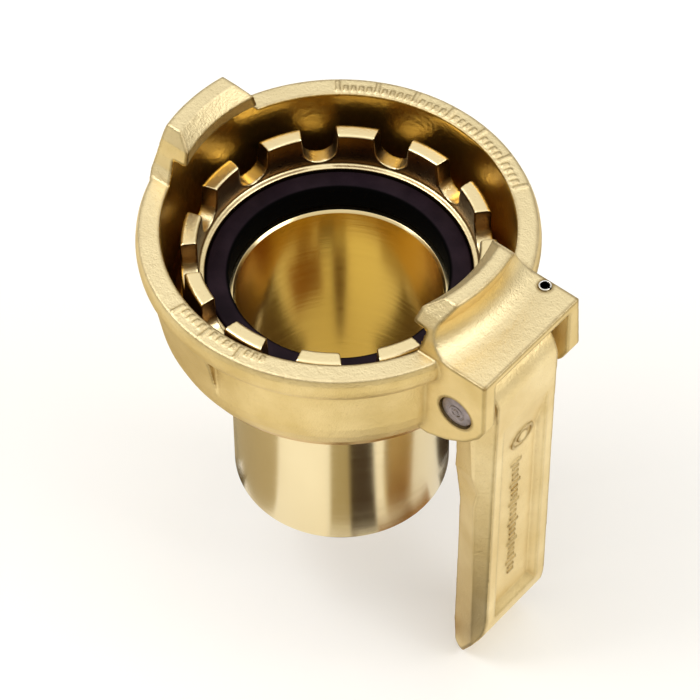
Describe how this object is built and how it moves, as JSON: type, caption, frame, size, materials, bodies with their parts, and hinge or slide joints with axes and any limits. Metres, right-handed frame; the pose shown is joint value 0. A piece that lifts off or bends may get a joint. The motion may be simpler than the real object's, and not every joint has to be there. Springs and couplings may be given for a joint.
{
  "type": "lever clamp-ring hose coupling",
  "caption": "Brass quick-action hose coupling half with a toothed crown round a flat gasket and a swivelling clamp ring that has claws and a hinged lever.",
  "frame": {"origin": "centre of the tail pipe's end face, where the pipework carries the coupling", "axes": "+Z along the bore from the tail to the mouth, +X towards the lever"},
  "size_m": [0.1059, 0.096, 0.1319],
  "materials": {
    "turned_brass": "turned, fine circumferential tool marks, bright",
    "body_brass": "machined casting, satin",
    "cast_brass": "pale cast and blasted, satin grain",
    "gasket_rubber": "moulded, matt, near black",
    "bolt_steel": "turned head, dull grey",
    "spring_steel": "bright rolled spring steel"
  },
  "bodies": {
    "body": {"tail_pipe": "turned_brass", "crown_body": "body_brass", "gasket": "gasket_rubber", "retaining_wire": "spring_steel"},
    "clamp_ring": {"clamp_ring": "cast_brass", "pivot_bolt": "bolt_steel", "roll_pin": "spring_steel"},
    "lever": {"lever": "cast_brass"}
  },
  "joints": [
    {"name": "ring_turn", "type": "hinge", "parent": "body", "child": "clamp_ring", "pos_m": [0, 0, 0], "axis": [0, 0, 1], "continuous": true},
    {"name": "lever_swing", "type": "hinge", "parent": "clamp_ring", "child": "lever", "pos_m": [0.0494, 0, 0.0727], "axis": [0, -1, 0], "range_deg": [0, 115]}
  ]
}
